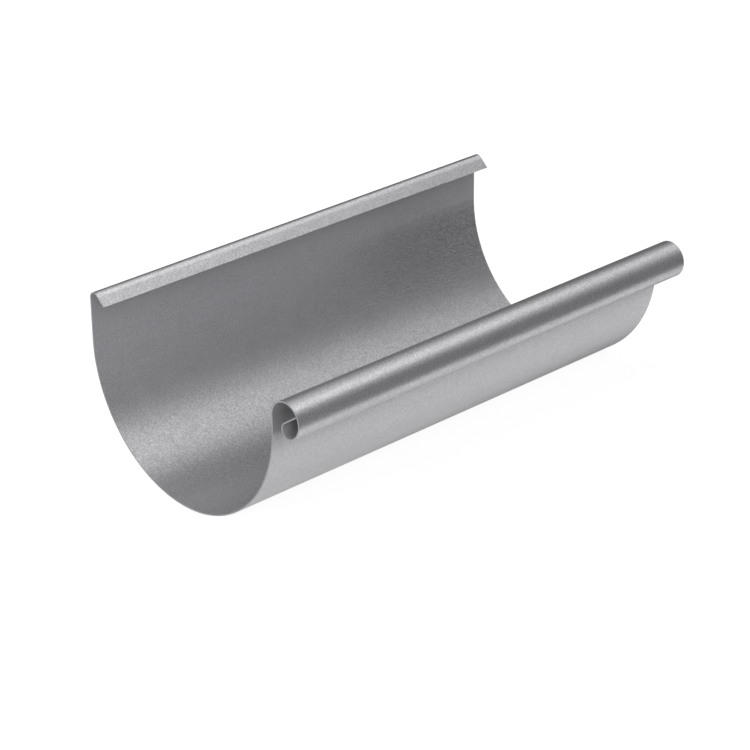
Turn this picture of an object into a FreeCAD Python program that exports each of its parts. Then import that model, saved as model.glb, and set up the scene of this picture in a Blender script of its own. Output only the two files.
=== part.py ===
import FreeCAD, Part
import math
import os

import Sketcher

# Short section of half-round eaves gutter, rolled from one strip of galvanised sheet.
# Millimetres. Length along X, beaded front edge towards -Y, rear edge towards +Y, +Z up.

os.makedirs("parts", exist_ok=True)
doc = FreeCAD.newDocument("gutter_section")

# Driving dimensions
SIZES = [
    ("gutter_length", 250.0),
    ("trough_diameter", 127.0),
    ("sheet_thickness", 0.6),
    ("rear_wall_height", 21.6),
    ("lip_bend_radius", 3.1),
    ("lip_drop_angle", 41.0),
    ("lip_length", 6.7),
    ("front_wall_height", 7.1),
    ("bead_diameter", 18.0),
    ("bead_wrap_angle", 249.0),
    ("curl_radius", 4.2),
    ("hem_rise_angle", 35.0),
    ("hem_clearance", 0.4),
]

sheet = doc.addObject("Spreadsheet::Sheet", "Sizes")
for row, (alias, value) in enumerate(SIZES, start=1):
    sheet.set("A%d" % row, alias)
    sheet.set("B%d" % row, str(value))
    sheet.setAlias("B%d" % row, alias)
doc.recompute()
size = {alias: float(sheet.get(alias)) for alias, value in SIZES}


def polar(centre, radius, degrees):
    angle = math.radians(degrees)
    return (centre[0] + radius * math.cos(angle), centre[1] + radius * math.sin(angle))


def point(pair):
    return FreeCAD.Vector(pair[0], pair[1], 0)


def line(start, end):
    return Part.LineSegment(point(start), point(end))


def arc(centre, radius, first, last):
    circle = Part.Circle(point(centre), FreeCAD.Vector(0, 0, 1), radius)
    return Part.ArcOfCircle(circle, math.radians(first), math.radians(last))


def face_curves(outside):
    """Curves of one face of the sheet, from the lip tip round the trough to the hem tip."""
    radius = size["trough_diameter"] / 2
    wall = size["sheet_thickness"]
    inset = 0.0 if outside else wall
    growth = wall if outside else 0.0
    lip_centre = (radius - size["lip_bend_radius"], size["rear_wall_height"])
    lip_turn = 90 + size["lip_drop_angle"]
    lip_radius = size["lip_bend_radius"] - inset
    lip_start = polar(lip_centre, lip_radius, lip_turn)
    lip_tip = polar(lip_start, size["lip_length"], 180 + size["lip_drop_angle"])
    side = radius - inset
    bead_radius = size["bead_diameter"] / 2
    bead_centre = (-(radius - wall + bead_radius), size["front_wall_height"])
    curl_centre = polar(bead_centre, bead_radius - size["curl_radius"], size["bead_wrap_angle"])
    hem_turn = 450 - size["hem_rise_angle"]
    hem_way = 180 - size["hem_rise_angle"]
    hem_start = polar(curl_centre, size["curl_radius"] - growth, hem_turn)
    inner_start = polar(curl_centre, size["curl_radius"] - wall, hem_turn)
    reach = bead_radius - wall - size["hem_clearance"]
    along = polar((0.0, 0.0), 1.0, hem_way)
    gap = (inner_start[0] - bead_centre[0], inner_start[1] - bead_centre[1])
    forward = gap[0] * along[0] + gap[1] * along[1]
    hem_length = -forward + math.sqrt(forward ** 2 - gap[0] ** 2 - gap[1] ** 2 + reach ** 2)
    hem_tip = polar(hem_start, hem_length, hem_way)
    return [
        line(lip_start, lip_tip),
        arc(lip_centre, lip_radius, 0, lip_turn),
        line((side, 0.0), (side, size["rear_wall_height"])),
        arc((0.0, 0.0), side, 180, 360),
        line((-side, 0.0), (-side, size["front_wall_height"])),
        arc(bead_centre, bead_radius - growth, 0, size["bead_wrap_angle"]),
        arc(curl_centre, size["curl_radius"] - growth, size["bead_wrap_angle"], hem_turn),
        line(hem_start, hem_tip),
    ]


# Sheet section across the gutter
body = doc.addObject("PartDesign::Body", "Gutter")
body.Label = "half_round_gutter"
plane = [item for item in body.Origin.OriginFeatures if item.Role == "YZ_Plane"][0]
profile = body.newObject("Sketcher::SketchObject", "SheetSection")
profile.AttachmentSupport = [(plane, "")]
profile.MapMode = "FlatFace"

LIP, LIP_BEND, REAR, TROUGH, FRONT, BEAD, CURL, HEM = range(8)
START, END, CENTRE = 1, 2, 3
ORIGIN = -1
outer = face_curves(True)
inner = face_curves(False)
outer_ids = [profile.addGeometry(curve) for curve in outer]
inner_ids = [profile.addGeometry(curve) for curve in inner]
lip_cap = profile.addGeometry(line(outer[LIP].EndPoint[:2], inner[LIP].EndPoint[:2]))
hem_cap = profile.addGeometry(line(outer[HEM].EndPoint[:2], inner[HEM].EndPoint[:2]))

# Smooth joints along each face of the sheet
JOINTS = [
    (LIP, START, LIP_BEND, END),
    (LIP_BEND, START, REAR, END),
    (REAR, START, TROUGH, END),
    (TROUGH, START, FRONT, START),
    (FRONT, END, BEAD, START),
    (BEAD, END, CURL, START),
    (CURL, END, HEM, START),
]
for ids in (outer_ids, inner_ids):
    for first, first_end, second, second_end in JOINTS:
        profile.addConstraint(
            Sketcher.Constraint("Tangent", ids[first], first_end, ids[second], second_end)
        )
    profile.addConstraint(Sketcher.Constraint("Coincident", ids[TROUGH], CENTRE, ORIGIN, START))
    profile.addConstraint(Sketcher.Constraint("Vertical", ids[REAR]))
    profile.addConstraint(Sketcher.Constraint("Vertical", ids[FRONT]))

# Both faces bend about the same centres, and the cut edges are square
for bend in (LIP_BEND, BEAD, CURL):
    profile.addConstraint(
        Sketcher.Constraint("Coincident", outer_ids[bend], CENTRE, inner_ids[bend], CENTRE)
    )
for flat, cap in ((LIP, lip_cap), (HEM, hem_cap)):
    profile.addConstraint(Sketcher.Constraint("Parallel", outer_ids[flat], inner_ids[flat]))
    profile.addConstraint(Sketcher.Constraint("Coincident", outer_ids[flat], END, cap, START))
    profile.addConstraint(Sketcher.Constraint("Coincident", inner_ids[flat], END, cap, END))
    profile.addConstraint(Sketcher.Constraint("Perpendicular", outer_ids[flat], cap))


def drive(name, constraint, expression):
    index = profile.addConstraint(constraint)
    profile.renameConstraint(index, name)
    profile.setExpression("Constraints." + name, expression)


# Sizes of the section
drive(
    "trough_outside",
    Sketcher.Constraint("Radius", outer_ids[TROUGH], outer[TROUGH].Radius),
    "Sizes.trough_diameter / 2",
)
drive(
    "trough_inside",
    Sketcher.Constraint("Radius", inner_ids[TROUGH], inner[TROUGH].Radius),
    "Sizes.trough_diameter / 2 - Sizes.sheet_thickness",
)
drive(
    "rear_wall",
    Sketcher.Constraint("Distance", outer_ids[REAR], outer[REAR].length()),
    "Sizes.rear_wall_height",
)
drive(
    "lip_bend",
    Sketcher.Constraint("Radius", outer_ids[LIP_BEND], outer[LIP_BEND].Radius),
    "Sizes.lip_bend_radius",
)
drive(
    "lip_turn",
    Sketcher.Constraint(
        "Angle", outer_ids[LIP_BEND], math.radians(90 + size["lip_drop_angle"])
    ),
    "90 + Sizes.lip_drop_angle",
)
drive(
    "lip_flat",
    Sketcher.Constraint("Distance", outer_ids[LIP], outer[LIP].length()),
    "Sizes.lip_length",
)
drive(
    "front_wall",
    Sketcher.Constraint("Distance", outer_ids[FRONT], outer[FRONT].length()),
    "Sizes.front_wall_height",
)
drive(
    "bead",
    Sketcher.Constraint("Radius", inner_ids[BEAD], inner[BEAD].Radius),
    "Sizes.bead_diameter / 2",
)
drive(
    "bead_wrap",
    Sketcher.Constraint("Angle", inner_ids[BEAD], math.radians(size["bead_wrap_angle"])),
    "Sizes.bead_wrap_angle",
)
drive(
    "curl",
    Sketcher.Constraint("Radius", inner_ids[CURL], inner[CURL].Radius),
    "Sizes.curl_radius",
)
drive(
    "hem_rise",
    Sketcher.Constraint("Angle", inner_ids[HEM], math.radians(180 - size["hem_rise_angle"])),
    "180 - Sizes.hem_rise_angle",
)
hem_reach = size["bead_diameter"] / 2 - size["sheet_thickness"] - size["hem_clearance"]
drive(
    "hem_reach",
    Sketcher.Constraint("Distance", inner_ids[BEAD], CENTRE, outer_ids[HEM], END, hem_reach),
    "Sizes.bead_diameter / 2 - Sizes.sheet_thickness - Sizes.hem_clearance",
)

# Straight length of gutter, cut square at both ends
pad = body.newObject("PartDesign::Pad", "GutterLength")
pad.Profile = profile
pad.SideType = "Symmetric"
pad.setExpression("Length", "Sizes.gutter_length")
body.Tip = pad
doc.recompute()

# The round bottom settles with the centre of mass below the trough's own axis
balance = body.Shape.CenterOfMass
settle_angle = math.degrees(math.atan(balance.y / balance.z))
turn = FreeCAD.Rotation(FreeCAD.Vector(1, 0, 0), settle_angle)
body.Placement = FreeCAD.Placement(FreeCAD.Vector(0, 0, 0), turn)
doc.recompute()
settled = body.Shape.optimalBoundingBox(False)
sideways = -(settled.YMin + settled.YMax) / 2
body.Placement = FreeCAD.Placement(FreeCAD.Vector(0, sideways, -settled.ZMin), turn)
doc.recompute()

# Checks before the solid is written
for item in doc.Objects:
    if "Invalid" in item.State or "Error" in item.State:
        raise RuntimeError("%s failed: %s" % (item.Label, item.State))
if not profile.FullyConstrained:
    raise RuntimeError("the section sketch is not fully constrained")
if body.Shape.isNull() or not body.Shape.isValid() or len(body.Shape.Solids) != 1:
    raise RuntimeError("the gutter is not one valid solid")

body.Shape.exportStep("parts/" + body.Label + ".step")
print("settled at %.3f degrees, volume %.2f mm3" % (settle_angle, body.Shape.Volume))
print("trough axis at y %.3f z %.3f" % (body.Placement.Base.y, body.Placement.Base.z))
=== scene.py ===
import math

import bpy
from mathutils import Matrix, Vector

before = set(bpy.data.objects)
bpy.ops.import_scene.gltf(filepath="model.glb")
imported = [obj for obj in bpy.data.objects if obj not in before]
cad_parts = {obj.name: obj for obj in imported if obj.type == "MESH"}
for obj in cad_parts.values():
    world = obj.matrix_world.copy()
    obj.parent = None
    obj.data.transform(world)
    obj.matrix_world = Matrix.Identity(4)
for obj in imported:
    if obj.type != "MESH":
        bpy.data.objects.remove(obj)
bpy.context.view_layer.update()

scene = bpy.context.scene
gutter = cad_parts["half_round_gutter"]

# The gutter lies turned about its own axis on its round bottom. The photograph shows it level,
# so the camera and the lights are set out in the level gutter's frame and turned with it.
SETTLE_ANGLE = math.radians(20.400)
TROUGH_AXIS = Vector((0.0, 0.007683, 0.0635))
SETTLE = Matrix.Translation(TROUGH_AXIS) @ Matrix.Rotation(SETTLE_ANGLE, 4, "X")
SETTLE_TURN = SETTLE.to_3x3()

# The camera's place from the trough's axis, and its angles in degrees. Its heading is an azimuth
# from the far end towards the rear wall.
CAMERA_PLACE = Vector((-0.76896, -0.82196, 0.51232))
CAMERA_HEADING = 47.1058
CAMERA_DIP = 26.0869
CAMERA_ROLL = -0.5541
SENSOR_WIDTH = 36.0
LENS = 124.204

# The sky's brightness below and above a soft step in its height, whose ends are given as sines
SKY_STEP = (0.31, 0.39)
SKY_BRIGHTNESS = (1.10, 1.80)
FLOOR_REACH = 30.0
FLOOR_COLOUR = (0.8, 0.8, 0.8, 1.0)
FLOOR_GLOW = 1.20
FLOOR_GLOW_SHARE = 0.76
WHITE = (1.0, 1.0, 1.0, 1.0)

# Axes of the rolls, the bead's mouth and the lip, across the level gutter from the trough's axis
FOLD_AXIS = (0.0604, 0.0216)
BEAD_AXIS = (-0.0719, 0.0071)
CURL_AXIS = (-0.0736, 0.0026)
MOUTH_AXIS = (-0.0640, 0.0015)
LIP_AXIS = (0.0558, 0.0217)

# Ways across the level gutter in which the crowns' painted highlights, the shoulders' painted
# dark reflections and the inside's painted light and shade face
BEAD_CROWN = (-0.46, 0.89)
BEAD_SHOULDER = (0.45, 0.89)
FOLD_CROWN = (-0.66, 0.75)
FOLD_SHOULDER = (0.38, 0.92)
REARWARD = (1.0, 0.0)
UPWARD = (0.0, 1.0)
REAR_WALL = (0.94, 0.34)
BOTTOM = (-0.42, -0.906)

# Cosines over which the zones fade in, as a place turns to face their way
CROWN_FADE = (0.80, 1.0)
REAR_WALL_FADE = (0.28, 0.64)
BOTTOM_FADE = (0.60, 0.87)

# Distances over which the zones begin or end
BEAD_SKIN = (0.0092, 0.0096)
BEAD_HOLLOW = (0.0086, 0.0088)
CURL_HOLLOW = (0.0037, 0.0039)
MOUTH_REACH = (0.0030, 0.0055)
FOLD_SKIN = (0.0032, 0.0036)
LIP_SKIN = (0.0045, 0.0055)
INNER_FACE = (0.0631, 0.0633)
OUTER_FACE = (0.0633, 0.0635)
SHEET = (0.0630, 0.0634)
STRAIGHT_WALL = (-0.004, -0.002)
CUT_END = (0.12485, 0.12495)

# Tones of the zinc: from dark to bright grains, and from dark to bright grains under the painted
# highlight; then painted light on the rear wall inside, painted shade at the bottom inside, a
# painted dark reflection on the shoulders, painted shade in the bead's and the curl's hollows,
# and the darker cut ends
PLAIN_GRAINS = (0.34, 0.337, 0.351, 1.0), (0.66, 0.655, 0.677, 1.0)
PAINTED_HIGHLIGHT_GRAINS = (0.52, 0.516, 0.533, 1.0), (0.88, 0.874, 0.898, 1.0)
REAR_WALL_PAINTED_LIGHT = (0.92, 0.914, 0.938, 1.0)
BOTTOM_PAINTED_SHADE = (0.10, 0.099, 0.103, 1.0)
SHOULDER_DARK_REFLECTION_TONE = (0.22, 0.218, 0.228, 1.0)
HOLLOW_PAINTED_SHADE = (0.29, 0.288, 0.30, 1.0)
CURL_PAINTED_SHADE = (0.42, 0.416, 0.43, 1.0)
CUT_TONE = (0.40, 0.397, 0.413, 1.0)

# How strong the fainter zones are (the lip's painted highlight, the bead shoulder's painted dark
# reflection, the rear wall's painted light and the bottom's painted shade), and the dark and the
# bright grains' share of metal
LIP_PAINTED_HIGHLIGHT = 0.2
BEAD_SHOULDER_DARK_REFLECTION = 0.25
REAR_WALL_SHARE = 0.11
BOTTOM_SHARE = 0.14
CLOUD_SHARE = 0.08
CALM_OUTSIDE = 0.50
CALM_ON_BEAD = 0.5
CALM_IN_PAINTED_HIGHLIGHT = 0.1
CALM_GRAIN = 0.5
GRAIN_METAL = (0.36, 0.93)
DULL_METAL = 0.10
ROUGHNESS = (0.30, 0.37)
DULL_ROUGHNESS = 0.6

# Fineness of the grains and the noises, and height of the skin's unevenness
GRAIN_SCALE = 2500.0
CLOUD_SCALE = 320.0
CLOUD_DETAIL = 3.0
CLOUD_FADE = (0.36, 0.64)
NOISE_DETAIL = 2.0
ROUGHNESS_SCALE = 130.0
BUMP_SCALE = 1400.0
BUMP_HEIGHT = 0.00008


class Tree:
    """An emptied node tree, with the nodes that are added to it."""

    def __init__(self, owner):
        owner.use_nodes = True
        self.nodes = owner.node_tree.nodes
        self.links = owner.node_tree.links
        self.nodes.clear()

    def add(self, kind, **settings):
        node = self.nodes.new(kind)
        for name, value in settings.items():
            setattr(node, name, value)
        return node

    def feed(self, socket, value):
        """Link a socket to another one, or set it to a plain value."""
        if isinstance(value, bpy.types.NodeSocket):
            self.links.new(value, socket)
        else:
            socket.default_value = value

    def calculate(self, operation, *values):
        node = self.add("ShaderNodeMath", operation=operation)
        for socket, value in zip(node.inputs, values):
            self.feed(socket, value)
        return node.outputs["Value"]

    def vector(self, operation, *values):
        node = self.add("ShaderNodeVectorMath", operation=operation)
        for socket, value in zip(node.inputs, values):
            self.feed(socket, value)
        return node.outputs["Value" if operation in ("DOT_PRODUCT", "LENGTH") else "Vector"]

    def soft_step(self, value, edge, before, after):
        """Go smoothly from one result to another as the value crosses the edge."""
        node = self.add("ShaderNodeMapRange", interpolation_type="SMOOTHSTEP")
        self.feed(node.inputs["Value"], value)
        node.inputs["From Min"].default_value, node.inputs["From Max"].default_value = edge
        node.inputs["To Min"].default_value = before
        node.inputs["To Max"].default_value = after
        return node.outputs["Result"]

    def mix(self, share, first, second):
        """Mix two numbers, or two colours if the second is one."""
        colours = isinstance(second, tuple) or getattr(second, "type", None) == "RGBA"
        node = self.add("ShaderNodeMix", data_type="RGBA" if colours else "FLOAT")
        factor, start, end = (0, 6, 7) if colours else (0, 2, 3)
        self.feed(node.inputs[factor], share)
        self.feed(node.inputs[start], first)
        self.feed(node.inputs[end], second)
        return node.outputs[2 if colours else 0]

    def noise(self, place, scale, detail):
        node = self.add("ShaderNodeTexNoise")
        self.feed(node.inputs["Vector"], place)
        node.inputs["Scale"].default_value = scale
        node.inputs["Detail"].default_value = detail
        return node.outputs["Fac"]


# Camera
camera_data = bpy.data.cameras.new("camera")
camera_data.sensor_width = SENSOR_WIDTH
camera_data.lens = LENS
camera_data.clip_start = 0.05
camera_data.clip_end = 60.0
camera = bpy.data.objects.new("camera", camera_data)
scene.collection.objects.link(camera)
heading = Matrix.Rotation(math.radians(CAMERA_HEADING - 90.0), 4, "Z")
dip = Matrix.Rotation(math.radians(90.0 - CAMERA_DIP), 4, "X")
roll = Matrix.Rotation(math.radians(CAMERA_ROLL), 4, "Z")
camera.matrix_world = SETTLE @ Matrix.Translation(CAMERA_PLACE) @ heading @ dip @ roll
scene.camera = camera
scene.view_settings.view_transform = "Standard"


# Surroundings: white to the camera, and a soft studio to everything else. A direction has its
# azimuth, from the far end towards the rear wall, and its height, both in degrees and in the
# level gutter's frame.
def towards(azimuth, height):
    azimuth = math.radians(azimuth)
    height = math.radians(height)
    return SETTLE_TURN @ Vector((
        math.cos(height) * math.cos(azimuth),
        math.cos(height) * math.sin(azimuth),
        math.sin(height),
    ))


world = bpy.data.worlds.new("surroundings")
scene.world = world
sky = Tree(world)
ray = sky.add("ShaderNodeTexCoord").outputs["Generated"]


def along(azimuth, height):
    return sky.vector("DOT_PRODUCT", ray, towards(azimuth, height))


def panel(behind, azimuth, height, radius, softness, brightness):
    """Hang a round panel with a soft edge over the light behind it."""
    angle = sky.calculate("ARCCOSINE", along(azimuth, height))
    edge = (math.radians(radius - softness / 2), math.radians(radius + softness / 2))
    return sky.mix(sky.soft_step(angle, edge, 1.0, 0.0), behind, brightness)


light = sky.soft_step(along(0.0, 90.0), SKY_STEP, *SKY_BRIGHTNESS)
# The dark room in front, and over it a pale ground behind and a pale wall at the near end
light = panel(light, azimuth=266.5, height=34.0, radius=81.0, softness=8.5, brightness=0.0)
light = panel(light, azimuth=109.0, height=-46.0, radius=66.0, softness=8.0, brightness=0.88)
light = panel(light, azimuth=182.0, height=16.5, radius=32.5, softness=10.0, brightness=0.80)
# A high lamp towards the far end and the wide main lamp in front
light = panel(light, azimuth=324.0, height=61.5, radius=17.5, softness=6.0, brightness=1.55)
light = panel(light, azimuth=267.0, height=15.0, radius=45.5, softness=8.0, brightness=2.20)
# The dark beside the main lamp and beyond the far end
light = panel(light, azimuth=310.5, height=6.5, radius=36.0, softness=10.0, brightness=0.0)
light = panel(light, azimuth=24.5, height=4.5, radius=46.5, softness=9.0, brightness=0.0)
# Two small faint lamps, high over the far end and high behind
light = panel(light, azimuth=10.5, height=46.5, radius=12.0, softness=13.5, brightness=0.96)
light = panel(light, azimuth=128.0, height=61.5, radius=13.0, softness=14.5, brightness=0.84)
camera_sees = sky.add("ShaderNodeLightPath").outputs["Is Camera Ray"]
backdrop = sky.add("ShaderNodeBackground")
backdrop.inputs["Color"].default_value = WHITE
sky.feed(backdrop.inputs["Strength"], sky.mix(camera_sees, light, 1.0))
sky.feed(sky.add("ShaderNodeOutputWorld").inputs["Surface"], backdrop.outputs["Background"])

# Pale floor, white to the camera, that keeps a soft shadow. Glossy rays pass through it, so that
# the metal mirrors the studio's lower half.
floor_mesh = bpy.data.meshes.new("floor")
floor_mesh.from_pydata(
    [(x * FLOOR_REACH, y * FLOOR_REACH, 0.0) for x, y in ((-1, -1), (1, -1), (1, 1), (-1, 1))],
    [],
    [(0, 1, 2, 3)],
)
floor = bpy.data.objects.new("floor", floor_mesh)
scene.collection.objects.link(floor)
floor.visible_glossy = False
floor_paint = bpy.data.materials.new("floor")
paint = Tree(floor_paint)
matt = paint.add("ShaderNodeBsdfDiffuse")
matt.inputs["Color"].default_value = FLOOR_COLOUR
glow = paint.add("ShaderNodeEmission")
glow.inputs["Strength"].default_value = FLOOR_GLOW
camera_sees = paint.add("ShaderNodeLightPath").outputs["Is Camera Ray"]
both = paint.add("ShaderNodeMixShader")
paint.feed(both.inputs["Fac"], paint.calculate("MULTIPLY", camera_sees, FLOOR_GLOW_SHARE))
paint.feed(both.inputs[1], matt.outputs["BSDF"])
paint.feed(both.inputs[2], glow.outputs["Emission"])
paint.feed(paint.add("ShaderNodeOutputMaterial").inputs["Surface"], both.outputs["Shader"])
floor.data.materials.append(floor_paint)

# Galvanised sheet
galvanised = bpy.data.materials.new("galvanised_sheet")
skin = Tree(galvanised)
steel = skin.add("ShaderNodeBsdfPrincipled")
skin.feed(skin.add("ShaderNodeOutputMaterial").inputs["Surface"], steel.outputs["BSDF"])
place = skin.add("ShaderNodeTexCoord").outputs["Object"]


def times(first, second):
    return skin.calculate("MULTIPLY", first, second)


def larger(first, second):
    return skin.calculate("MAXIMUM", first, second)


def within(distance, edge):
    return skin.soft_step(distance, edge, 1.0, 0.0)


def beyond(distance, edge):
    return skin.soft_step(distance, edge, 0.0, 1.0)


def across(y, z):
    """Offset of a place from an axis, across the gutter."""
    offset = skin.vector("SUBTRACT", place, SETTLE @ Vector((0.0, y, z)))
    return skin.vector("MULTIPLY", offset, (0.0, 1.0, 1.0))


def length(offset):
    return skin.vector("LENGTH", offset)


def reach(offset, way):
    """How far an offset goes in a way across the level gutter."""
    return skin.vector("DOT_PRODUCT", offset, SETTLE_TURN @ Vector((0.0, *way)).normalized())


def facing(offset, way):
    """Cosine between an offset and a way across the level gutter."""
    return reach(skin.vector("NORMALIZE", offset), way)


def crown(offset, way):
    """How far a place on a roll faces the given way: 1 on the crown, 0 beyond 37 degrees."""
    return beyond(facing(offset, way), CROWN_FADE)


trough = across(0.0, 0.0)
bead = across(*BEAD_AXIS)
fold = across(*FOLD_AXIS)
trough_distance = length(trough)
bead_distance = length(bead)
lip_distance = length(across(*LIP_AXIS))
off_lip = beyond(lip_distance, LIP_SKIN)

# Painted highlight: the crowns of the bead and of the rear fold, and the lip a little, are
# painted brighter where their highlights fall
bead_skin = within(bead_distance, BEAD_SKIN)
fold_skin = within(length(fold), FOLD_SKIN)
on_bead = times(bead_skin, crown(bead, BEAD_CROWN))
on_fold = times(fold_skin, crown(fold, FOLD_CROWN))
on_lip = skin.soft_step(lip_distance, LIP_SKIN, LIP_PAINTED_HIGHLIGHT, 0.0)
bright = larger(larger(on_bead, on_fold), on_lip)

# Their rearward shoulders get a painted dark reflection, darkest along the top of the rear fold
bead_shoulder = crown(bead, BEAD_SHOULDER)
bead_shoulder = skin.soft_step(bead_shoulder, (0.0, 1.0), 0.0, BEAD_SHOULDER_DARK_REFLECTION)
fold_shoulder = crown(fold, FOLD_SHOULDER)
shoulder = larger(times(fold_skin, fold_shoulder), times(bead_skin, bead_shoulder))

# Painted shade darkens the bead's hollow with its mouth and the curl's hollow, and the cut ends
# are darker too. The curl's hollow shines as the rest does, and the others are dull.
mouth = within(length(across(*MOUTH_AXIS)), MOUTH_REACH)
mouth = times(mouth, beyond(trough_distance, OUTER_FACE))
hollow = larger(within(bead_distance, BEAD_HOLLOW), mouth)
curl = within(length(across(*CURL_AXIS)), CURL_HOLLOW)
lengthwise = skin.vector("MULTIPLY", place, (1.0, 0.0, 0.0))
cut = beyond(length(lengthwise), CUT_END)
dull = larger(hollow, cut)

# Inside, painted light makes the rear wall a little paler and painted shade makes the bottom a
# little darker
wall_inside = within(reach(trough, REARWARD), INNER_FACE)
wall_inside = times(wall_inside, beyond(reach(trough, UPWARD), STRAIGHT_WALL))
inside = times(larger(within(trough_distance, INNER_FACE), wall_inside), off_lip)
rear_wall = skin.soft_step(facing(trough, REAR_WALL), REAR_WALL_FADE, 0.0, REAR_WALL_SHARE)
bottom = skin.soft_step(facing(trough, BOTTOM), BOTTOM_FADE, 0.0, BOTTOM_SHARE)

# Zinc in fine grains and faint clouds, calmer on the outer side. A bright grain is also the more
# metallic, so the grain shows where a lamp is mirrored and hardly where the sheet is in shade.
cells = skin.add("ShaderNodeTexVoronoi")
cells.inputs["Scale"].default_value = GRAIN_SCALE
skin.feed(cells.inputs["Vector"], place)
cell_tone = skin.add("ShaderNodeSeparateColor")
skin.feed(cell_tone.inputs["Color"], cells.outputs["Color"])
cloud = beyond(skin.noise(place, CLOUD_SCALE, CLOUD_DETAIL), CLOUD_FADE)
grain = skin.mix(CLOUD_SHARE, cell_tone.outputs["Red"], cloud)
calm = times(skin.soft_step(trough_distance, SHEET, 0.0, CALM_OUTSIDE), off_lip)
calm = times(calm, skin.soft_step(bead_distance, BEAD_SKIN, CALM_ON_BEAD, 1.0))
# The grain is calmer under the painted highlight
grain = skin.mix(skin.mix(bright, calm, CALM_IN_PAINTED_HIGHLIGHT), grain, CALM_GRAIN)

colour = skin.mix(bright, skin.mix(grain, *PLAIN_GRAINS), skin.mix(grain, *PAINTED_HIGHLIGHT_GRAINS))
# Painted light and shade, painted dark reflections and the darker cut ends are laid over the
# colour
for zone, tone in (
    (times(inside, rear_wall), REAR_WALL_PAINTED_LIGHT),
    (times(inside, bottom), BOTTOM_PAINTED_SHADE),
    (shoulder, SHOULDER_DARK_REFLECTION_TONE),
    (hollow, HOLLOW_PAINTED_SHADE),
    (curl, CURL_PAINTED_SHADE),
    (cut, CUT_TONE),
):
    colour = skin.mix(zone, colour, tone)
metal = skin.mix(grain, *GRAIN_METAL)
roughness = skin.mix(skin.noise(place, ROUGHNESS_SCALE, NOISE_DETAIL), *ROUGHNESS)
skin.feed(steel.inputs["Base Color"], colour)
skin.feed(steel.inputs["Metallic"], skin.mix(dull, metal, DULL_METAL))
skin.feed(steel.inputs["Roughness"], skin.mix(dull, roughness, DULL_ROUGHNESS))

# The skin's fine unevenness
bump = skin.add("ShaderNodeBump")
bump.inputs["Strength"].default_value = 1.0
bump.inputs["Distance"].default_value = BUMP_HEIGHT
skin.feed(bump.inputs["Height"], skin.noise(place, BUMP_SCALE, NOISE_DETAIL))
skin.feed(steel.inputs["Normal"], bump.outputs["Normal"])
for slot in gutter.material_slots:
    slot.material = galvanised
